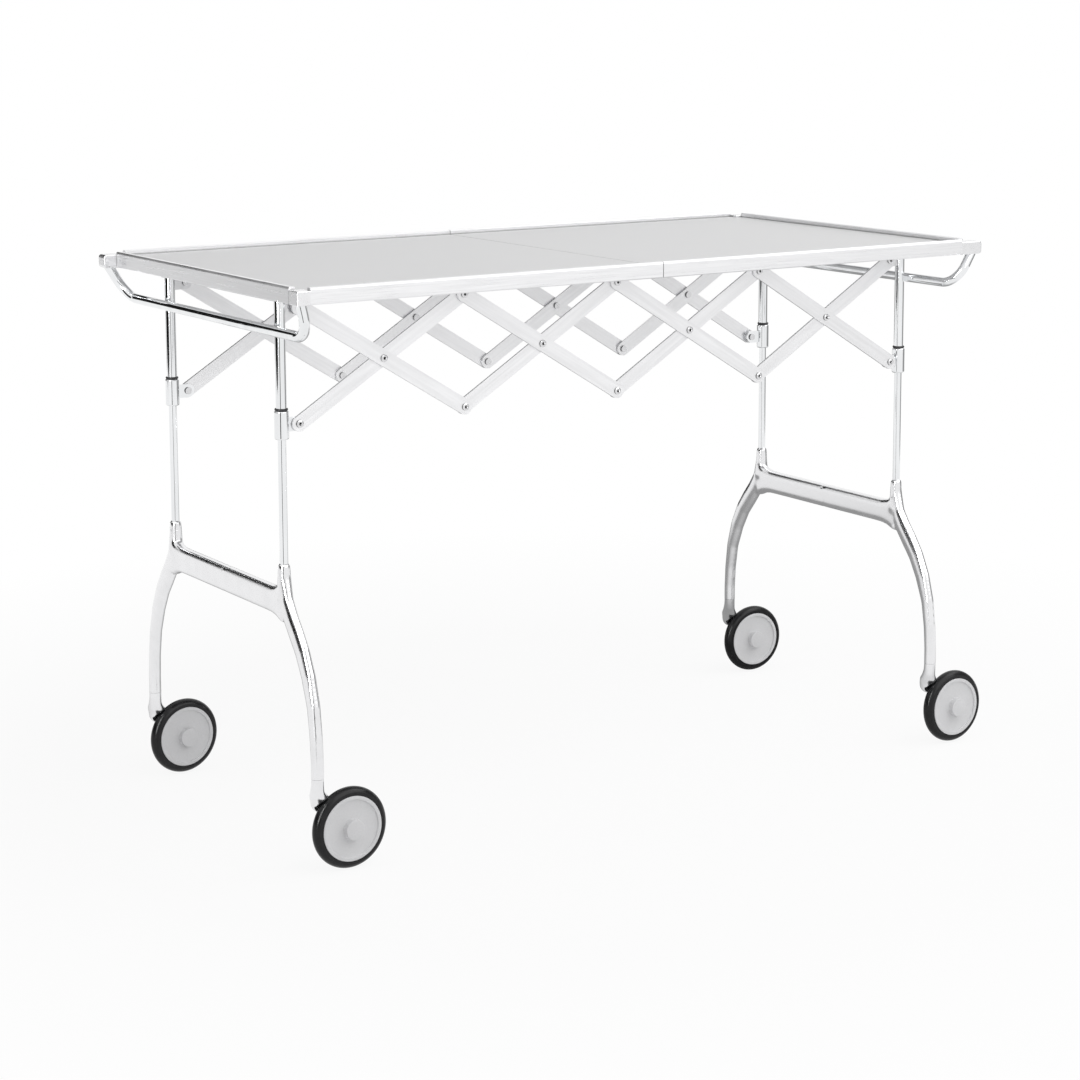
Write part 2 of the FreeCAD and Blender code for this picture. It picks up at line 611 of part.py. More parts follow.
def tyre_solid():
    """Tyre with a round tread, seated on the hub."""
    seat_r = DISC_R + SEAT_FIT
    half = TYRE_WIDTH / 2.0
    side_r = WHEEL_R - TREAD_CROWN
    pts = [V(seat_r, 0, -half), V(side_r, 0, -half), V(seat_r, 0, half),
           V(side_r, 0, half)]
    e1 = Part.LineSegment(pts[0], pts[1]).toShape()
    e2 = Part.Arc(pts[1], V(WHEEL_R, 0, 0), pts[3]).toShape()
    e3 = Part.LineSegment(pts[3], pts[2]).toShape()
    e4 = Part.LineSegment(pts[2], pts[0]).toShape()
    face = Part.Face(Part.Wire([e1, e2, e3, e4]))
    solid = face.revolve(V(0, 0, 0), Z_UP, 360)
    turn = FreeCAD.Rotation(Z_UP, V(0, -1, 0))
    # The seam of the ring faces the floor, so the tread touches it there.
    turn = turn.multiply(FreeCAD.Rotation(Z_UP, -90.0))
    solid.Placement = FreeCAD.Placement(V(TRAIL, 0, WHEEL_R), turn)
    return solid


def placed(shapes, x, y, degrees):
    """Turn castor pieces about the swivel axis and move them under a leg."""
    spot = FreeCAD.Placement(V(x, y, 0), FreeCAD.Rotation(Z_UP, degrees))
    moved = []
    for shape in shapes:
        shape.Placement = spot.multiply(shape.Placement)
        moved.append(shape)
    return moved


for end_name, end in ENDS:
    for side_name, side in SIDES:
        spot = "%s_%s" % (side_name, end_name)
        where = (end * COLUMN_X, side * CASTOR_Y, REST_TURN[spot])
        save("castor_arm_%s" % spot, placed(castor_arm(), *where))
        save("castor_hub_%s" % spot, placed([hub_solid()], *where))
        save("castor_tyre_%s" % spot, placed([tyre_solid()], *where))


# ---------------------------------------------------------------------
# Half tops: laminate panel in an aluminium edge rail, with a corner
# block at each outer corner and a bent-tube bail whose bar is the hinge.
# ---------------------------------------------------------------------
def rail_outline():
    """Section of the edge rail: (distance in from the outer face, height)."""
    z0 = RAIL_LOW_Z
    z1 = TABLE_HEIGHT
    seat = PANEL_LOW_Z - SLIP_FIT
    e = RAIL_EDGE
    return [(e, z0), (RAIL_FLANGE, z0), (RAIL_FLANGE, seat), (RAIL_WALL, seat),
            (RAIL_WALL, RAIL_LIP_Z), (RAIL_BEAD, RAIL_LIP_Z), (RAIL_BEAD, z1 - e),
            (RAIL_BEAD - e, z1 - e / 8.0), (RAIL_BEAD / 2.0, z1), (1.3 * e, z1 - e / 8.0),
            (0.3 * e, z1 - 0.8 * e), (0.0, z1 - 2.2 * e), (0.0, z0 + e)]


def side_rail(x0, x1, side):
    """Rail along X."""
    pts = [V(min(x0, x1), side * (RAIL_SIDE_Y - d), z) for d, z in rail_outline()]
    face = Part.Face(Part.makePolygon(pts + [pts[0]]))
    return face.extrude(V(abs(x1 - x0), 0, 0))


def end_rail(y0, y1, end):
    """Rail along Y."""
    pts = [V(end * (RAIL_END_X - d), min(y0, y1), z) for d, z in rail_outline()]
    face = Part.Face(Part.makePolygon(pts + [pts[0]]))
    return face.extrude(V(0, abs(y1 - y0), 0))


def edges_along(shape, axis, x_face):
    """Straight edges along an axis that lie in the plane x = x_face."""
    found = []
    for e in shape.Edges:
        if not isinstance(e.Curve, (Part.Line, Part.LineSegment)):
            continue
        t = e.tangentAt(e.FirstParameter)
        mid = e.valueAt((e.FirstParameter + e.LastParameter) / 2.0)
        if abs(t.dot(axis)) > 0.99 and abs(mid.x - x_face) < SLIP_FIT:
            found.append(e)
    return found


def block_end(end, side):
    """Outer X of a corner block and its leg's centre; which block is long."""
    long_one = (end * side) < 0
    reach = BLOCK_LONG_X if long_one else BLOCK_SHORT_X
    leg_in = BAIL_LONG_IN if long_one else BAIL_SHORT_IN
    outer = BLOCK_IN_X + reach
    return end * outer, end * (outer - leg_in), long_one


def bail_path(end):
    """Wire of the bail: leg, bend, bar, bend, leg; each leg leans inwards."""
    bar_mid = V(end * BAR_X, 0, BAR_Z)
    r = BAIL_BEND_R
    k = r * (1 - math.sqrt(0.5))
    legs = []
    for side in (-1, 1):
        head = V(block_end(end, side)[1], 0, BLOCK_LOW_Z)
        rise = head - bar_mid
        length = rise.Length
        up = V(rise).normalize()
        y = side * BAIL_LEG_Y

        def at(y_at, height, up=up):
            return bar_mid + V(0, y_at, 0) + up * height

        legs.append({"top": at(y, length + BAIL_ENTRY), "bend": at(y, r), "up": up,
                     "mid": at(y - side * k, k), "bar": at(y - side * r, 0)})
    near, far = legs
    edges = [
        Part.LineSegment(near["top"], near["bend"]).toShape(),
        Part.Arc(near["bend"], near["mid"], near["bar"]).toShape(),
        Part.LineSegment(near["bar"], far["bar"]).toShape(),
        Part.Arc(far["bar"], far["mid"], far["bend"]).toShape(),
        Part.LineSegment(far["bend"], far["top"]).toShape(),
    ]
    return Part.Wire(edges), near["top"], near["up"]


def bail_solid(end, radius):
    """Round bar swept along the bail path."""
    path, start, up = bail_path(end)
    ring = Part.Wire([Part.makeCircle(radius, start, up)])
    return path.makePipeShell([ring], True, True)


def leaf(end, y0, y1):
    """One knuckle with the leaf that ties it to its half top."""
    knuckle = rod_y(0, y0, y1, SEAM_AXIS_Z, KNUCKLE_R)
    z_top = PANEL_LOW_Z - SEAT_FIT
    z_low = z_top - LEAF_THICK
    x_near = end * (KNUCKLE_R + LEAF_THICK / 2.0)
    x_far = end * (KNUCKLE_R + 2 * LEAF_THICK)
    plate = box(x_near, end * LEAF_REACH, y0, y1, z_low, z_top)
    x_root = end * LEAF_THICK / 8.0
    neck = [V(x_root, y0, SEAM_AXIS_Z - LEAF_THICK / 2.0),
            V(x_near, y0, z_low - LEAF_THICK / 2.0), V(x_far, y0, z_low),
            V(x_far, y0, z_top), V(x_near, y0, z_top),
            V(x_root, y0, SEAM_AXIS_Z + KNUCKLE_R - SLIP_FIT)]
    neck = Part.Face(Part.makePolygon(neck + [neck[0]])).extrude(V(0, y1 - y0, 0))
    return knuckle.fuse([plate, neck]).removeSplitter()


for end_name, end in ENDS:
    x_seam = end * SEAM_GAP / 2.0
    x_in = end * BLOCK_IN_X
    blocks = []
    cuts = []
    inner_ends = []
    for side_name, side in SIDES:
        x_out, x_leg, long_one = block_end(end, side)
        depth_y = BLOCK_LONG_Y if long_one else BLOCK_SHORT_Y
        y_out = side * RAIL_SIDE_Y
        y_in = side * (RAIL_SIDE_Y - depth_y)
        inner_ends.append(y_in)
        block = box(x_in, x_out, y_in, y_out, BLOCK_LOW_Z, BLOCK_TOP_Z)
        block = block.makeFillet(BLOCK_ROUND if long_one else BLOCK_EDGE,
                                 edges_along(block, Y_BACK, x_out))
        block = block.makeFillet(BLOCK_EDGE, edges_along(block, Z_UP, x_out))
        blocks.append(block.cut(bail_solid(end, BAR_R + SEAT_FIT)))
        cuts.append(box(x_in - end * SLIP_FIT, x_out + end * THROUGH,
                        y_in - side * SLIP_FIT, y_out + side * THROUGH,
                        RAIL_LOW_Z - THROUGH, TABLE_HEIGHT + THROUGH))
    save("corner_blocks_%s" % end_name, blocks)

    rails = []
    for side_name, side in SIDES:
        rails.append(side_rail(x_seam, x_in, side))
    rails.append(end_rail(inner_ends[0], inner_ends[1], end))
    save("edge_rails_%s" % end_name, rails)

    # Panel: full board under the bead, and its face stepped up inside it.
    panel = None
    for inset, z_face in ((RAIL_WALL + SLIP_FIT, PANEL_TOP_Z - PANEL_REBATE),
                          (RAIL_BEAD + SLIP_FIT, PANEL_TOP_Z)):
        y_edge = RAIL_SIDE_Y - inset
        layer = box(x_seam, end * (RAIL_END_X - inset), -y_edge, y_edge,
                    PANEL_LOW_Z, z_face)
        panel = layer if panel is None else panel.fuse(layer)
    panel = panel.removeSplitter()
    for cut in cuts:
        panel = panel.cut(cut)
    save("panel_%s" % end_name, panel)

    save("handle_%s" % end_name, bail_solid(end, BAR_R))

# Seam hinges: the outer knuckles belong to the left half, the middle
# knuckle and the pin to the right half.
left_leaves = []
right_leaves = []
pins = []
third = SEAM_HINGE_LEN / 3.0
for side_name, side in SIDES:
    y0 = side * SEAM_HINGE_Y - SEAM_HINGE_LEN / 2.0
    y1 = y0 + SEAM_HINGE_LEN
    for low in (y0, y0 + 2 * third):
        piece = leaf(-1, low, low + third)
        left_leaves.append(piece.cut(bore_y(0, y0, y1, SEAM_AXIS_Z,
                                            SEAM_PIN_R + RUN_FIT)))
    piece = leaf(1, y0 + third + FACE_GAP, y0 + 2 * third - FACE_GAP)
    right_leaves.append(piece.cut(bore_y(0, y0, y1, SEAM_AXIS_Z,
                                         SEAM_PIN_R + SEAT_FIT)))
    pins.append(rod_y(0, y0 + FACE_GAP, y1 - FACE_GAP, SEAM_AXIS_Z, SEAM_PIN_R))
save("seam_hinge_left", left_leaves)
save("seam_hinge_right", right_leaves + pins)
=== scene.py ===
import math

import bpy
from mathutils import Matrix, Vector


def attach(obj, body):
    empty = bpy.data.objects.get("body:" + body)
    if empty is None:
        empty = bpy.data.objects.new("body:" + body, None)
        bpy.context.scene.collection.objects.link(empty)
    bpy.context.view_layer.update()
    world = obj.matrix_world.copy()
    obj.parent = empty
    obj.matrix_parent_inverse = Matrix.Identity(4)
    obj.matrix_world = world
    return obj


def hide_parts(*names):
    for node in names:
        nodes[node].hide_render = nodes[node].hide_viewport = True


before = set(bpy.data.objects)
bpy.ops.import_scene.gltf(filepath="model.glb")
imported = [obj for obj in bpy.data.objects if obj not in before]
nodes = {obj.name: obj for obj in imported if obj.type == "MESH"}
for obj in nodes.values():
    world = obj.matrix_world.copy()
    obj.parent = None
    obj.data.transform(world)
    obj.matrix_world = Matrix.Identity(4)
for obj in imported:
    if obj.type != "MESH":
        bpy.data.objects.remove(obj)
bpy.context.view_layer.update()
bpy.ops.object.select_all(action="DESELECT")


# ---------------------------------------------------------------------
# End castings. One bridge of cast aluminium at each end: a crossbar with a
# socket for each column and two legs that bow out to the castors. Ground
# and polished by hand, so the skin is bright with soft, faint scratches.
EVEN = (1.0, 1.0, 1.0)      # stretch of a pattern that has no grain
NOISE_SPAN = (0.3, 0.7)     # noise values that reach both ends of a range
TONE_STOPS = (0.32, 0.68)   # noise values of the darker and the lighter tone


def blank_finish(name, metallic):
    """A new material; returns it with its node tree and its shader."""
    material = bpy.data.materials.new(name)
    material.use_nodes = True
    tree = material.node_tree
    shader = tree.nodes["Principled BSDF"]
    shader.inputs["Metallic"].default_value = metallic
    return material, tree, shader


def pattern(tree, stretch, scale, detail=3.0, lean=0.0):
    """Noise on the piece's own axes, turned about Y and then drawn out."""
    place = tree.nodes.new("ShaderNodeTexCoord")
    source = place.outputs["Object"]
    if lean:
        turn = tree.nodes.new("ShaderNodeMapping")
        turn.inputs["Rotation"].default_value = (0.0, lean, 0.0)
        tree.links.new(source, turn.inputs["Vector"])
        source = turn.outputs["Vector"]
    mapping = tree.nodes.new("ShaderNodeMapping")
    mapping.inputs["Scale"].default_value = stretch
    noise = tree.nodes.new("ShaderNodeTexNoise")
    noise.inputs["Scale"].default_value = scale
    noise.inputs["Detail"].default_value = detail
    tree.links.new(source, mapping.inputs["Vector"])
    tree.links.new(mapping.outputs["Vector"], noise.inputs["Vector"])
    return noise.outputs[0]


def graded(tree, source, start, stop, low, high):
    """A value from low to high while the source goes from start to stop."""
    ramp = tree.nodes.new("ShaderNodeMapRange")
    ramp.inputs["From Min"].default_value = start
    ramp.inputs["From Max"].default_value = stop
    ramp.inputs["To Min"].default_value = low
    ramp.inputs["To Max"].default_value = high
    tree.links.new(source, ramp.inputs["Value"])
    return ramp.outputs["Result"]


def roughen(tree, source, low, high, shader):
    """Vary the roughness between two values by a pattern."""
    varied = graded(tree, source, *NOISE_SPAN, low, high)
    tree.links.new(varied, shader.inputs["Roughness"])


def tint(tree, source, dark, light, shader):
    """Vary the colour between two tones by a pattern."""
    ramp = tree.nodes.new("ShaderNodeValToRGB")
    for element, stop, tone in zip(ramp.color_ramp.elements, TONE_STOPS, (dark, light)):
        element.position = stop
        element.color = (*tone, 1.0)
    tree.links.new(source, ramp.inputs["Fac"])
    tree.links.new(ramp.outputs["Color"], shader.inputs["Base Color"])


def relief(tree, source, height, strength, shader):
    """Fine relief from a pattern; height in metres."""
    bump = tree.nodes.new("ShaderNodeBump")
    bump.inputs["Distance"].default_value = height
    bump.inputs["Strength"].default_value = strength
    tree.links.new(source, bump.inputs["Height"])
    tree.links.new(bump.outputs["Normal"], shader.inputs["Normal"])


cast_skin, tree, shader = blank_finish("cast_polished", metallic=1.0)
clouds = pattern(tree, EVEN, scale=38.0)
roughen(tree, clouds, 0.15, 0.2, shader)
tint(tree, clouds, (0.80, 0.80, 0.81), (0.85, 0.85, 0.86), shader)
scratches = pattern(tree, (1.0, 1.0, 0.25), scale=900.0)
relief(tree, scratches, 0.00002, 0.1, shader)


def only(piece):
    """Make this the one selected and active object."""
    bpy.ops.object.select_all(action="DESELECT")
    piece.select_set(True)
    bpy.context.view_layer.objects.active = piece


def pick(piece, wanted, mode="FACE"):
    """In edit mode, select the faces or points that pass the test.

    A face is tested by its middle and its normal, a point by its place.
    """
    bpy.ops.object.mode_set(mode="OBJECT")
    bpy.ops.object.select_all(action="DESELECT")
    piece.select_set(True)
    mesh = piece.data
    for elements in (mesh.vertices, mesh.edges, mesh.polygons):
        elements.foreach_set("select", [False] * len(elements))
    if mode == "VERT":
        for vert in mesh.vertices:
            vert.select = wanted(piece.matrix_world @ vert.co)
    else:
        for face in mesh.polygons:
            face.select = wanted(piece.matrix_world @ face.center, face.normal)
    bpy.ops.object.mode_set(mode="EDIT")
    bpy.ops.mesh.select_mode(type=mode)


def settle(piece, name):
    """Leave edit mode and put the piece's origin at the frame's origin."""
    bpy.ops.object.mode_set(mode="OBJECT")
    only(piece)
    bpy.ops.object.transform_apply(location=True, rotation=True, scale=True)
    piece.name = name
    piece.data.name = name


def finish_with(piece, kind, **settings):
    """Add a modifier, set it and apply it."""
    only(piece)
    modifier = piece.modifiers.new(kind.lower(), kind)
    for key, value in settings.items():
        setattr(modifier, key, value)
    bpy.ops.object.modifier_apply(modifier=modifier.name)


def joined(pieces, name):
    """Join pieces that are cast or welded in one."""
    bpy.ops.object.mode_set(mode="OBJECT")
    bpy.ops.object.select_all(action="DESELECT")
    for piece in pieces:
        piece.select_set(True)
    bpy.context.view_layer.objects.active = pieces[0]
    bpy.ops.object.join()
    settle(pieces[0], name)
    return pieces[0]


def fuse(piece, voxel, rounds, swell=0.0):
    """Run joined shapes into one skin; swell makes up what smoothing takes."""
    finish_with(piece, "REMESH", mode="VOXEL", voxel_size=voxel)
    if swell:
        finish_with(piece, "DISPLACE", strength=swell, mid_level=0.0)
    finish_with(piece, "SMOOTH", factor=0.5, iterations=rounds)


def saw(piece, z, **cleared):
    """Saw the piece off level at this height and close the cut."""
    only(piece)
    bpy.ops.object.mode_set(mode="EDIT")
    bpy.ops.mesh.select_all(action="SELECT")
    bpy.ops.mesh.bisect(plane_co=(0.0, 0.0, z), plane_no=(0.0, 0.0, 1.0),
                        use_fill=True, **cleared)
    bpy.ops.object.mode_set(mode="OBJECT")


ROUND_SIDES = 32            # flats round a drawn bar or a socket
NEARBY = 0.001              # metres within which a point counts as at a place
FACING = 0.9                # share of a normal that makes a face look one way
SOFT_EDGE = math.radians(40)    # edges flatter than this shade smooth


def drawn_out(name, stations):
    """Bar drawn ring by ring; stations are (centre, X size, cross size, lean)."""
    centre, wide, deep, lean = stations[0]
    bpy.ops.object.select_all(action="DESELECT")
    bpy.ops.mesh.primitive_circle_add(vertices=ROUND_SIDES, radius=0.5, location=centre)
    bar = bpy.context.object
    bpy.ops.object.mode_set(mode="EDIT")
    bpy.ops.mesh.select_all(action="SELECT")
    bpy.ops.transform.resize(value=(wide, deep, 1.0), center_override=centre)
    bpy.ops.transform.rotate(value=-lean, orient_axis="X", center_override=centre)
    for spot, new_wide, new_deep, new_lean in stations[1:]:
        step = [b - a for a, b in zip(centre, spot)]
        bpy.ops.mesh.extrude_region_move(TRANSFORM_OT_translate={"value": step})
        bpy.ops.transform.rotate(value=lean, orient_axis="X", center_override=spot)
        bpy.ops.transform.resize(value=(new_wide / wide, new_deep / deep, 1.0),
                                 center_override=spot)
        bpy.ops.transform.rotate(value=-new_lean, orient_axis="X", center_override=spot)
        centre, wide, deep, lean = spot, new_wide, new_deep, new_lean
    bpy.ops.mesh.edge_face_add()
    first = Vector(stations[0][0])
    reach = 0.5 * stations[0][2] + NEARBY
    pick(bar, lambda p: (p - first).length < reach, "VERT")
    bpy.ops.mesh.edge_face_add()
    bpy.ops.mesh.select_all(action="SELECT")
    bpy.ops.mesh.normals_make_consistent(inside=False)
    settle(bar, name)
    return bar


# Leg from its head down to the castor seam: Y out, height, width across
# the bow, thickness along X, all in metres, and lean from upright in degrees.
# Its last ring lies below the seam, so that the foot is sawn off flat.
LEG_RINGS = ((0.1512, 0.3440, 0.0152, 0.0140, 0), (0.1552, 0.3180, 0.0210, 0.0139, 13),
             (0.1655, 0.2980, 0.0262, 0.0138, 32), (0.1800, 0.2800, 0.0267, 0.0136, 38),
             (0.1946, 0.2610, 0.0252, 0.0134, 32), (0.2088, 0.2340, 0.0231, 0.0135, 23),
             (0.2200, 0.2010, 0.0188, 0.0137, 14), (0.2252, 0.1660, 0.0166, 0.0140, 6),
             (0.2270, 0.1360, 0.0152, 0.0145, 0), (0.2270, 0.1165, 0.0148, 0.0148, 0),
             (0.2270, 0.0980, 0.0148, 0.0148, 0))
SEAM_Z = 0.1165
COLUMN_Y = 0.151
SOCKET_FOOT_R = 0.0088
SOCKET_MOUTH_R = 0.0068
SOCKET_TALL = 0.0425
SOCKET_Z = 0.33825          # the middle of its height
MOUTH_INSET = 0.0008
MOUTH_RISE = 0.0006
CROSS_TOP = 0.328
CROSS_LOW = 0.297
CROSS_THICK = 0.0142
CROSS_Y = -0.055            # the middle of the half that is modelled
CROSS_LONG = 0.114
CROSS_ROUNDING = 0.0042
# Where the crossbar runs into the leg: Y of each step, height as a share of
# the crossbar's own, and how far the step's middle drops.
CROSS_SWELL = ((-0.127, 1.02, 0.0003), (-0.139, 1.16, 0.0016),
               (-0.148, 1.44, 0.0020), (-0.156, 1.62, 0.0016))
END_X = {"left": -0.4945, "right": 0.4525}


def bridge(name, x):
    """One end casting: two bowed legs, a crossbar and two sockets."""
    rings = []
    for y, z, wide, thick, lean in LEG_RINGS:
        rings.append(((x, -y, z), thick, wide, -math.radians(lean)))
    leg = drawn_out(name, rings)
    # Socket: a flared boss with a rounded mouth.
    bpy.ops.object.select_all(action="DESELECT")
    bpy.ops.mesh.primitive_cone_add(vertices=ROUND_SIDES, radius1=SOCKET_FOOT_R,
                                    radius2=SOCKET_MOUTH_R, depth=SOCKET_TALL,
                                    location=(x, -COLUMN_Y, SOCKET_Z))
    socket = bpy.context.object
    pick(socket, lambda c, n: n.z > FACING)
    bpy.ops.mesh.inset(thickness=MOUTH_INSET)
    bpy.ops.transform.translate(value=(0.0, 0.0, MOUTH_RISE))
    settle(socket, name + "_socket")
    # Crossbar: half of it, swollen where it runs into the leg.
    bpy.ops.object.select_all(action="DESELECT")
    middle = (CROSS_TOP + CROSS_LOW) / 2.0
    tall = CROSS_TOP - CROSS_LOW
    bpy.ops.mesh.primitive_cube_add(size=1.0, location=(x, CROSS_Y, middle),
                                    scale=(CROSS_THICK, CROSS_LONG, tall))
    bar = bpy.context.object
    end_y = CROSS_Y - CROSS_LONG / 2.0
    for y, share, drop in CROSS_SWELL:
        pick(bar, lambda c, n, edge=end_y: c.y < edge + NEARBY and n.y < -FACING)
        bpy.ops.mesh.extrude_region_move(
            TRANSFORM_OT_translate={"value": (0.0, y - end_y, 0.0)})
        bpy.ops.object.mode_set(mode="OBJECT")
        pick(bar, lambda p, edge=y: p.y < edge + NEARBY, "VERT")
        ring = [v.co.z for v in bar.data.vertices if v.select]
        grow = share * tall / ((max(ring) - min(ring)) * bar.scale.z)
        bpy.ops.transform.resize(value=(1.0, 1.0, grow),
                                 center_override=(x, y, middle - drop))
        end_y = y
    settle(bar, name + "_bar")
    finish_with(bar, "BEVEL", width=CROSS_ROUNDING, segments=4, limit_method="ANGLE",
                angle_limit=math.radians(60), use_clamp_overlap=True)
    piece = joined([leg, socket, bar], name)
    finish_with(piece, "MIRROR", use_axis=(False, True, False), use_mirror_merge=False)
    fuse(piece, voxel=0.0013, rounds=36, swell=0.0007)
    saw(piece, SEAM_Z, clear_inner=True)
    bpy.ops.object.shade_smooth_by_angle(angle=SOFT_EDGE)
    return piece


for end, x in END_X.items():
    casting = bridge("bridge_" + end, x)
    casting.data.materials.append(cast_skin)
    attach(casting, "frame_" + end)
    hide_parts("casting_" + end)


# ---------------------------------------------------------------------
# Columns. A chromed rod stands in each socket, with a sleeve that slides on
# it and a thicker tube over its upper length; a small cradle holds the
# bail's bar off the tube. Drawn steel, plated, with faint wipe marks.
def dress(material, *starts):
    """Give a finish to every frame node whose name starts this way."""
    for node_name, node in nodes.items():
        if node_name.startswith(starts):
            node.data.materials.clear()
            node.data.materials.append(material)


chrome, tree, shader = blank_finish("chrome_tube", metallic=1.0)
wipes = pattern(tree, (1.0, 1.0, 0.2), scale=60.0)
roughen(tree, wipes, 0.03, 0.075, shader)
tint(tree, wipes, (0.80, 0.81, 0.82), (0.87, 0.88, 0.89), shader)
dress(chrome, "columns_", "guide_rods_", "sleeves_", "bar_cradles_")


# ---------------------------------------------------------------------
# Stop rings. A moulded ring of black rubber at the foot of each column
# tube, pushed over the rod, where it stops the sleeve.
stop_rubber, tree, shader = blank_finish("stop_rubber", metallic=0.0)
specks = pattern(tree, EVEN, scale=700.0)
roughen(tree, specks, 0.42, 0.6, shader)
tint(tree, specks, (0.028, 0.028, 0.030), (0.045, 0.045, 0.048), shader)
dress(stop_rubber, "stop_rings_")


# ---------------------------------------------------------------------
# Brackets, cross rails and seam hinges. Bent and rolled steel under the
# top, zinc plated and left satin, with the grain of the sheet along X.
satin_steel, tree, shader = blank_finish("satin_steel", metallic=1.0)
brushed = pattern(tree, (0.08, 1.0, 1.0), scale=420.0)
roughen(tree, brushed, 0.28, 0.42, shader)
tint(tree, brushed, (0.68, 0.68, 0.69), (0.76, 0.76, 0.77), shader)
dress(satin_steel, "top_brackets_", "cross_rail_", "seam_hinge_")


# ---------------------------------------------------------------------
# Lattice bars. Flat aluminium strip with round ends, punched and clear
# anodised, with the grain of the rolling along each bar.
CELL_RISE = 0.139
CELL_RUN = 0.226
LATTICE_LEAN = math.atan2(CELL_RISE, CELL_RUN)


def bar_finish(name, lean):
    """Anodised strip whose rolling grain runs at this angle above X."""
    material, tree, shader = blank_finish(name, metallic=1.0)
    grain = pattern(tree, (0.05, 1.0, 1.0), scale=260.0, detail=4.0, lean=lean)
    roughen(tree, grain, 0.30, 0.42, shader)
    tint(tree, grain, (0.80, 0.80, 0.81), (0.87, 0.87, 0.88), shader)
    relief(tree, grain, 0.00005, 0.2, shader)
    return material


dress(bar_finish("bar_falling", -LATTICE_LEAN), "outer_bar_")
dress(bar_finish("bar_rising", LATTICE_LEAN), "inner_bar_")


# ---------------------------------------------------------------------
# Rivets and pins. Tubular steel rivets join the bars at each crossing and
# end; like pins hold them to the sleeves and brackets. Their bores get
# painted shade.
def painted_hollow_shade(tree, shader, reach, tone, full, fade):
    """Painted shade: darken the finish's colour in hollows, where shadow falls.

    It is darkest up to the openness full, and gone at full + fade.
    """
    hollow = tree.nodes.new("ShaderNodeAmbientOcclusion")
    hollow.inputs["Distance"].default_value = reach
    open_air = graded(tree, hollow.outputs["AO"], full, full + fade, 0.0, 1.0)
    shade = tree.nodes.new("ShaderNodeMix")
    shade.data_type = "RGBA"
    shade.inputs[6].default_value = (tone, tone, tone, 1.0)
    tree.links.new(open_air, shade.inputs[0])
    tree.links.new(shader.inputs["Base Color"].links[0].from_socket, shade.inputs[7])
    tree.links.new(shade.outputs[2], shader.inputs["Base Color"])


rivet_steel, tree, shader = blank_finish("rivet_steel", metallic=1.0)
specks = pattern(tree, EVEN, scale=500.0)
roughen(tree, specks, 0.16, 0.3, shader)
tint(tree, specks, (0.62, 0.62, 0.63), (0.76, 0.76, 0.77), shader)
# Painted shade: the bores and hollows of the rivets and pins are darkened.
painted_hollow_shade(tree, shader, reach=0.006, tone=0.03, full=0.55, fade=0.30)
dress(rivet_steel, "rivets_", "sleeve_pins_", "bracket_pins_")


# ---------------------------------------------------------------------
# Castor arms. Cast aluminium, polished like the end castings: a round neck
# under the leg widens to a hood round the tyre and runs down behind the
# wheel. A turned stem goes up into the leg and a turned axle into the disc.

# Neck from the leg down: height, X and Y of the middle, size along X and Y.
# Its first ring lies above the seam, where the neck is sawn off flat.
NECK_RINGS = ((0.1300, 0.0, 0.0, 0.0148, 0.0148), (0.1162, 0.0, 0.0, 0.0148, 0.0148),
              (0.1080, 0.0004, 0.0009, 0.0149, 0.0152),
              (0.0998, 0.0013, 0.0034, 0.0155, 0.0181),
              (0.0921, 0.0050, 0.0084, 0.0200, 0.0237),
              (0.0839, 0.0130, 0.0131, 0.0281, 0.0266),
              (0.0771, 0.0160, 0.0135, 0.0318, 0.0284),
              (0.0732, 0.0176, 0.0138, 0.0296, 0.0255),
              (0.0705, 0.0180, 0.0138, 0.0230, 0.0200))
NECK_TOP = 0.1162           # a hair below the leg's own foot
AXLE_X = 0.042
AXLE_Z = 0.0495
PLATE_Y = 0.0135
PLATE_THICK = 0.006
PLATE_ROUNDS = ((0.0130, 0.0839, 0.0096), (AXLE_X, AXLE_Z, 0.0120))  # X, Z, radius
ROOM_R = 0.0510
ROOM_DEEP = 0.0300
ROOM_Y = -0.0048
PIN_CHAMFER = 0.0006
CASTOR_Y = 0.227
# How far each castor happens to be turned about its stem, in degrees.
TRAIL_TURN = {"front_left": 2.0, "back_left": 6.0, "front_right": 2.0, "back_right": -2.0}
LYING = (math.pi / 2, 0.0, 0.0)     # turns a cylinder's axis from Z to Y


def castor_copies(model, name):
    """Put a copy of a piece at each castor, turned as that castor trails."""
    copies = []
    for end, x in END_X.items():
        for side, sign in (("front", -1), ("back", 1)):
            spot = side + "_" + end
            only(model)
            bpy.ops.object.duplicate(linked=False)
            piece = bpy.context.object
            bpy.ops.transform.translate(value=(x, sign * CASTOR_Y, 0.0))
            piece.rotation_euler = (0.0, 0.0, math.radians(TRAIL_TURN[spot]))
            settle(piece, name + spot)
            copies.append((spot, piece))
    bpy.data.objects.remove(model)
    return copies


hood_rings = []
for z, x, y, wide, deep in NECK_RINGS:
    hood_rings.append(((x, y, z), wide, deep, 0.0))
arm = drawn_out("arm_pattern", hood_rings)
# Rear plate: the hull of its round head and its round axle boss.
plates = []
for x, z, r in PLATE_ROUNDS:
    bpy.ops.object.select_all(action="DESELECT")
    bpy.ops.mesh.primitive_cylinder_add(vertices=40, radius=r, depth=PLATE_THICK,
                                        location=(x, PLATE_Y + PLATE_THICK / 2.0, z),
                                        rotation=LYING)
    plates.append(bpy.context.object)
plate = joined(plates, "arm_plate")
bpy.ops.object.mode_set(mode="EDIT")
bpy.ops.mesh.select_all(action="SELECT")
bpy.ops.mesh.convex_hull()
settle(plate, "arm_plate")
arm = joined([arm, plate], "arm_pattern")
fuse(arm, voxel=0.0010, rounds=30, swell=0.0004)
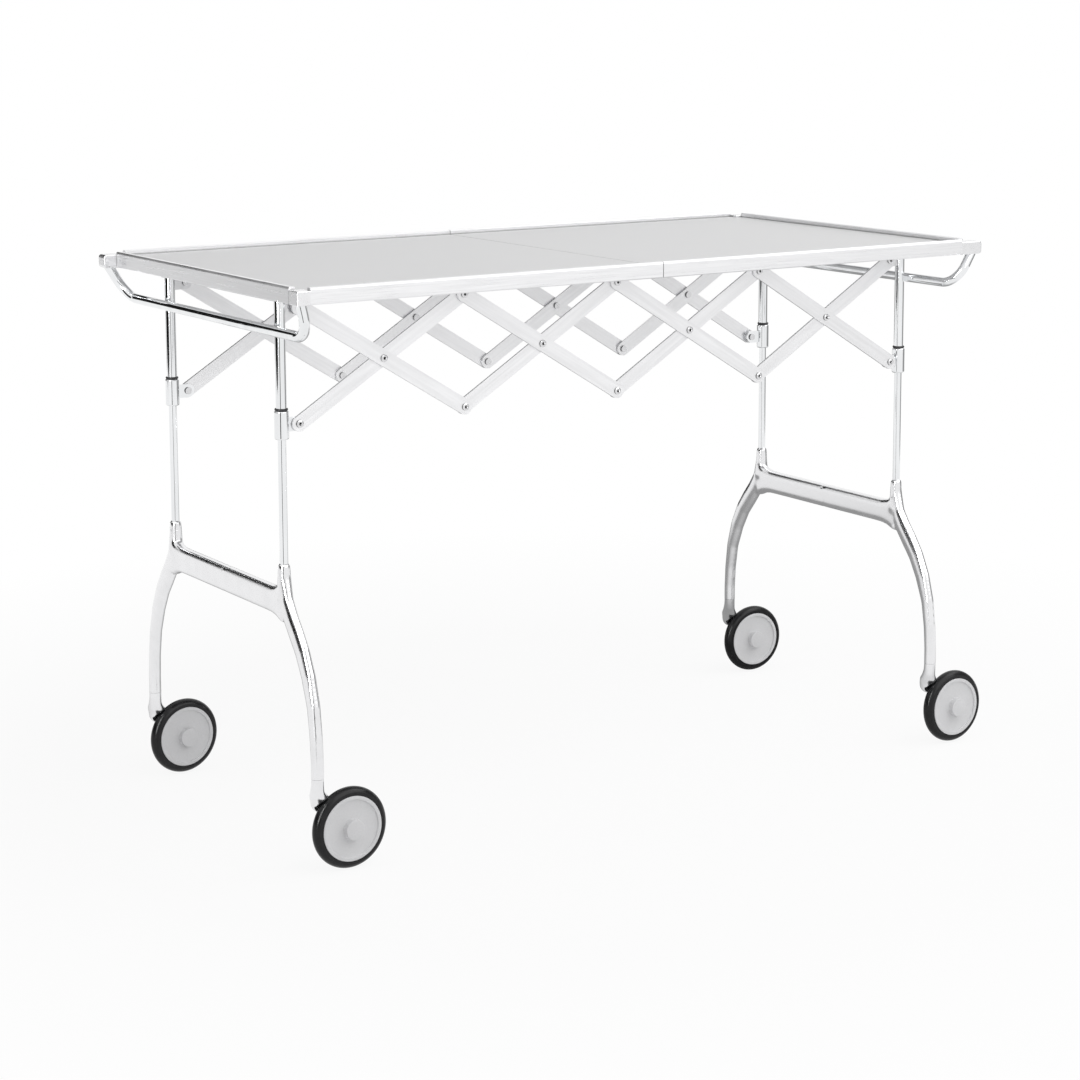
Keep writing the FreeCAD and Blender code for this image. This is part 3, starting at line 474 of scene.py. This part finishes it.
# Room for the tyre, turned out of the hood.
bpy.ops.object.select_all(action="DESELECT")
bpy.ops.mesh.primitive_cylinder_add(vertices=160, radius=ROOM_R, depth=ROOM_DEEP,
                                    location=(AXLE_X, ROOM_Y, AXLE_Z), rotation=LYING)
room = bpy.context.object
settle(room, "tyre_room")
finish_with(arm, "BOOLEAN", object=room, operation="DIFFERENCE", solver="EXACT")
bpy.data.objects.remove(room)
# The cut's edges are rounded over, as on the rest of the casting.
fuse(arm, voxel=0.0009, rounds=6)
saw(arm, NECK_TOP, clear_outer=True)
# Swivel stem and axle, turned steel with a chamfered end: place, radius,
# length and turn of each.
for name, place, r, deep, turn in (
        ("stem", (0.0, 0.0, 0.1287), 0.0030, 0.0315, (0.0, 0.0, 0.0)),
        ("axle", (AXLE_X, 0.0072, AXLE_Z), 0.0040, 0.0245, LYING)):
    bpy.ops.object.select_all(action="DESELECT")
    bpy.ops.mesh.primitive_cylinder_add(vertices=24, radius=r, depth=deep,
                                        location=place, rotation=turn)
    pin = bpy.context.object
    settle(pin, name)
    finish_with(pin, "BEVEL", width=PIN_CHAMFER, segments=2, limit_method="ANGLE")
    arm = joined([arm, pin], "arm_pattern")
bpy.ops.object.shade_smooth_by_angle(angle=SOFT_EDGE)
arm.data.materials.append(cast_skin)

for spot, piece in castor_copies(arm, "arm_"):
    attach(piece, "castor_" + spot)
    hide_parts("castor_arm_" + spot)


# ---------------------------------------------------------------------
# Wheel discs. Each is moulded in grey plastic in one shot: a flat disc with
# a raised lip inside the tyre, a button in front and a bored boss behind.
hub_grey, tree, shader = blank_finish("hub_grey", metallic=0.0)
mottle = pattern(tree, EVEN, scale=420.0, detail=5.0)
roughen(tree, mottle, 0.38, 0.46, shader)
tint(tree, mottle, (0.675, 0.675, 0.685), (0.705, 0.705, 0.715), shader)
relief(tree, mottle, 0.00001, 0.15, shader)

DISC_R = 0.0396
DISC_DEEP = 0.0171
DISC_Y = -0.00055
DISC_ROUNDING = 0.0006
# Each step takes the middle face that looks along Y (-1 in front, 1 behind),
# insets it and moves it along Y: lip, button, boss and bore.
DISC_STEPS = ((-1, 0.0045, 0.0019), (-1, 0.0228, -0.0083),
              (1, 0.0306, 0.0050), (1, 0.0048, -0.0188))

bpy.ops.object.select_all(action="DESELECT")
bpy.ops.mesh.primitive_cylinder_add(vertices=128, radius=DISC_R, depth=DISC_DEEP,
                                    location=(AXLE_X, DISC_Y, AXLE_Z), rotation=LYING)
disc = bpy.context.object
for way, inset, push in DISC_STEPS:
    # The cylinder lies on its side, so its own Z looks along -Y.
    pick(disc, lambda c, n, way=way: -n.z * way > FACING
         and math.hypot(c.x - AXLE_X, c.z - AXLE_Z) < NEARBY)
    bpy.ops.mesh.inset(thickness=inset)
    bpy.ops.mesh.extrude_region_move(TRANSFORM_OT_translate={"value": (0.0, push, 0.0)})
bpy.ops.mesh.select_all(action="SELECT")
bpy.ops.mesh.normals_make_consistent(inside=False)
settle(disc, "disc_pattern")
finish_with(disc, "BEVEL", width=DISC_ROUNDING, segments=3, limit_method="ANGLE",
            angle_limit=math.radians(50))
bpy.ops.object.shade_smooth_by_angle(angle=math.radians(35))
disc.data.materials.append(hub_grey)

for spot, piece in castor_copies(disc, "disc_"):
    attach(piece, "wheel_" + spot)
    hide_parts("castor_hub_" + spot)


# ---------------------------------------------------------------------
# Tyres. A round ring of black rubber, moulded on each disc, with a smooth
# skin that a little dust dulls in places.
tyre_black, tree, shader = blank_finish("tyre_black", metallic=0.0)
shader.inputs["Specular IOR Level"].default_value = 0.25
dust = pattern(tree, EVEN, scale=110.0, detail=5.0)
roughen(tree, dust, 0.18, 0.28, shader)
tint(tree, dust, (0.008, 0.008, 0.009), (0.014, 0.014, 0.015), shader)
dress(tyre_black, "castor_tyre_")


# ---------------------------------------------------------------------
# Panels. A board with a grey laminate on each half top, laid in its rim,
# with the laminate's faint streaks along the table.
laminate, tree, shader = blank_finish("grey_laminate", metallic=0.0)
streaks = pattern(tree, (0.035, 1.0, 1.0), scale=160.0, detail=4.0)
roughen(tree, streaks, 0.28, 0.4, shader)
tint(tree, streaks, (0.635, 0.635, 0.64), (0.68, 0.68, 0.685), shader)
relief(tree, streaks, 0.00002, 0.2, shader)
# Painted shade: the laminate darkens along its rails and in the seam.
painted_hollow_shade(tree, shader, reach=0.005, tone=0.22, full=0.5, fade=0.25)
dress(laminate, "panel_")


# ---------------------------------------------------------------------
# Edge rails. Extruded aluminium with a satin skin, three to each half top.
# The panel slips under their bead, and their rim stands 6 mm above it.
rail_satin, tree, shader = blank_finish("rail_satin", metallic=1.0)
drawn = pattern(tree, (0.03, 0.03, 1.0), scale=600.0)
roughen(tree, drawn, 0.26, 0.36, shader)
tint(tree, drawn, (0.81, 0.81, 0.82), (0.87, 0.87, 0.88), shader)
relief(tree, drawn, 0.00001, 0.06, shader)
# Painted shade: the rails darken in their hollows and where they meet the panel.
painted_hollow_shade(tree, shader, reach=0.006, tone=0.34, full=0.5, fade=0.25)
dress(rail_satin, "edge_rails_")


# ---------------------------------------------------------------------
# Corner blocks. Small cast and polished blocks that close the rim's outer
# corners and take the ends of the rails.
block_polish, tree, shader = blank_finish("block_polish", metallic=1.0)
clouds = pattern(tree, EVEN, scale=90.0)
roughen(tree, clouds, 0.25, 0.31, shader)
tint(tree, clouds, (0.78, 0.78, 0.79), (0.84, 0.84, 0.85), shader)
dress(block_polish, "corner_blocks_")


# ---------------------------------------------------------------------
# Bail handles. One bent steel tube under each end of the top, chromed like
# the columns. Its legs sit in the corner blocks, and its bar is the hinge.
dress(chrome, "handle_")


# ---------------------------------------------------------------------
# Studio. A pale floor that fades to white, a white surround, two soft
# lamps, and cards off to the side, dark but for one bright strip, that
# only the metal mirrors.
FLOOR_R = 14.0
FLOOR_Z = -0.0005
FLOOR_TONE = 0.86
WHITE = (1.0, 1.0, 1.0, 1.0)
GLOW_NEAR = 0.9                       # share of the floor that glows by itself
FADE_START = 0.7                      # metres from the middle of the table
FADE_END = 1.5
PATCH_OUT = (0.545, 0.839, 0.0)       # away from the near left, on the floor
PATCH_ACROSS = (0.839, -0.545, 0.0)   # square to it
PATCH_START = -0.1
PATCH_FULL = 0.35
PATCH_HALF = 0.65
PATCH_END = 0.95
PATCH_LEVEL = 0.32
SURROUND_LEVEL = 0.50


def combined(tree, operation, one, other):
    """Two values made one by a math node of this kind."""
    node = tree.nodes.new("ShaderNodeMath")
    node.operation = operation
    tree.links.new(one, node.inputs[0])
    tree.links.new(other, node.inputs[1])
    return node.outputs[0]


def looked_at(tree, path):
    """1 for rays from the camera, off a mirror or through glass, else 0."""
    seen = combined(tree, "MAXIMUM", path.outputs["Is Camera Ray"],
                    path.outputs["Is Glossy Ray"])
    return combined(tree, "MAXIMUM", seen, path.outputs["Is Transmission Ray"])


def along(tree, place, axis):
    """How far a point of the floor lies along this direction, in metres."""
    dot = tree.nodes.new("ShaderNodeVectorMath")
    dot.operation = "DOT_PRODUCT"
    dot.inputs[1].default_value = axis
    tree.links.new(place.outputs["Object"], dot.inputs[0])
    return dot.outputs["Value"]


def floor_finish():
    """White that still takes a share of the object's shadow."""
    material = bpy.data.materials.new("studio_floor")
    material.use_nodes = True
    tree = material.node_tree
    tree.nodes.clear()
    place = tree.nodes.new("ShaderNodeTexCoord")
    path = tree.nodes.new("ShaderNodeLightPath")
    matt = tree.nodes.new("ShaderNodeBsdfDiffuse")
    matt.inputs["Color"].default_value = (FLOOR_TONE, FLOOR_TONE, FLOOR_TONE, 1.0)
    glow = tree.nodes.new("ShaderNodeEmission")
    glow.inputs["Color"].default_value = WHITE
    # The glow takes over from the matt floor away from the object.
    away = tree.nodes.new("ShaderNodeVectorMath")
    away.operation = "LENGTH"
    tree.links.new(place.outputs["Object"], away.inputs[0])
    fade = graded(tree, away.outputs["Value"], FADE_START, FADE_END, GLOW_NEAR, 1.0)
    share = combined(tree, "MULTIPLY", looked_at(tree, path), fade)
    # Mirrors see a dim patch of floor behind the object, none elsewhere.
    outward = along(tree, place, PATCH_OUT)
    behind = graded(tree, outward, PATCH_START, PATCH_FULL, 0.0, 1.0)
    aside = tree.nodes.new("ShaderNodeMath")
    aside.operation = "ABSOLUTE"
    tree.links.new(along(tree, place, PATCH_ACROSS), aside.inputs[0])
    within = graded(tree, aside.outputs[0], PATCH_HALF, PATCH_END, 1.0, 0.0)
    dim = combined(tree, "MULTIPLY", path.outputs["Is Glossy Ray"], behind)
    dim = combined(tree, "MULTIPLY", dim, within)
    level = graded(tree, dim, 0.0, 1.0, 1.0, PATCH_LEVEL)
    tree.links.new(level, glow.inputs["Strength"])
    mix = tree.nodes.new("ShaderNodeMixShader")
    tree.links.new(share, mix.inputs["Fac"])
    tree.links.new(matt.outputs[0], mix.inputs[1])
    tree.links.new(glow.outputs[0], mix.inputs[2])
    out = tree.nodes.new("ShaderNodeOutputMaterial")
    tree.links.new(mix.outputs[0], out.inputs["Surface"])
    return material


bpy.ops.mesh.primitive_circle_add(vertices=96, radius=FLOOR_R, fill_type="NGON",
                                  location=(0.0, 0.0, FLOOR_Z))
floor = bpy.context.object
floor.name = "studio_floor"
floor.data.materials.append(floor_finish())

world = bpy.data.worlds.new("studio")
bpy.context.scene.world = world
world.use_nodes = True
tree = world.node_tree
back = tree.nodes["Background"]
back.inputs["Color"].default_value = WHITE
# The surround is seen white, but lights the object at half that.
seen = looked_at(tree, tree.nodes.new("ShaderNodeLightPath"))
level = graded(tree, seen, 0.0, 1.0, SURROUND_LEVEL, 1.0)
tree.links.new(level, back.inputs["Strength"])

# Lamps: place and size in metres, and watts. Both look at the table.
LAMP_AIM = Vector((0.0, 0.0, 0.5))
for name, place, size, watts in (("key", (0.9, -2.6, 2.9), 4.0, 62.0),
                                 ("fill", (2.4, -0.8, 2.6), 2.2, 22.0)):
    bpy.ops.object.light_add(type="AREA", location=place)
    lamp = bpy.context.object
    lamp.name = name
    lamp.data.size = size
    lamp.data.energy = watts
    sight = LAMP_AIM - Vector(place)
    lamp.rotation_euler = sight.to_track_quat("-Z", "Y").to_euler()

# Cards: bearing from +Y towards -X in degrees, distance, width, low and
# high edge in metres, and tone. Only mirrors and gloss see them.
for name, bearing, far, wide, low, high, tone in (
        ("card_side", 72.0, 3.05, 3.8, 0.16, 1.40, 0.012),
        ("card_behind", 11.0, 4.50, 3.7, 0.48, 3.55, 0.012),
        ("card_low", -6.0, 3.90, 2.4, 0.0, 0.50, 0.03),
        ("card_behind_high", 14.0, 4.60, 3.4, 3.60, 5.20, 0.30),
        ("card_strip", 127.0, 1.32, 0.20, 0.0, 1.10, 0.02),
        ("strip_lamp", 112.0, 2.70, 0.40, 0.35, 2.60, 20.0),
        ("card_right", -100.0, 2.60, 2.6, 0.0, 1.90, 0.34)):
    angle = math.radians(bearing)
    spot = Vector((-math.sin(angle) * far, math.cos(angle) * far, (low + high) / 2))
    bpy.ops.object.select_all(action="DESELECT")
    bpy.ops.mesh.primitive_plane_add(size=1.0, location=spot,
                                     rotation=(math.pi / 2, 0.0, angle))
    card = bpy.context.object
    card.name = name
    card.scale = (wide, high - low, 1.0)
    sheet = bpy.data.materials.new(name)
    sheet.use_nodes = True
    sheet.node_tree.nodes.clear()
    out = sheet.node_tree.nodes.new("ShaderNodeOutputMaterial")
    flat = sheet.node_tree.nodes.new("ShaderNodeEmission")
    flat.inputs["Color"].default_value = (tone, tone, tone, 1.0)
    sheet.node_tree.links.new(flat.outputs[0], out.inputs["Surface"])
    card.data.materials.append(sheet)
    card.visible_camera = False
    card.visible_diffuse = False
    card.visible_shadow = False
    card.visible_transmission = False

# Camera: its place, lens, shift and turn were solved from the table's
# straight edges, its columns and the pivots of the lattice.
CAMERA_PLACE = (-1.86296, -2.82880, 1.03400)
CAMERA_TURN = (81.81244, 0.21394, -32.85784)
scene = bpy.context.scene
scene.view_settings.view_transform = "Standard"
bpy.ops.object.camera_add(location=CAMERA_PLACE)
camera = bpy.context.object
camera.name = "camera"
camera.rotation_mode = "XYZ"
camera.data.sensor_width = 36.0
camera.data.lens = 86.06
camera.data.shift_x = 0.0018
camera.data.shift_y = -0.1675
camera.rotation_euler = [math.radians(degrees) for degrees in CAMERA_TURN]
scene.camera = camera
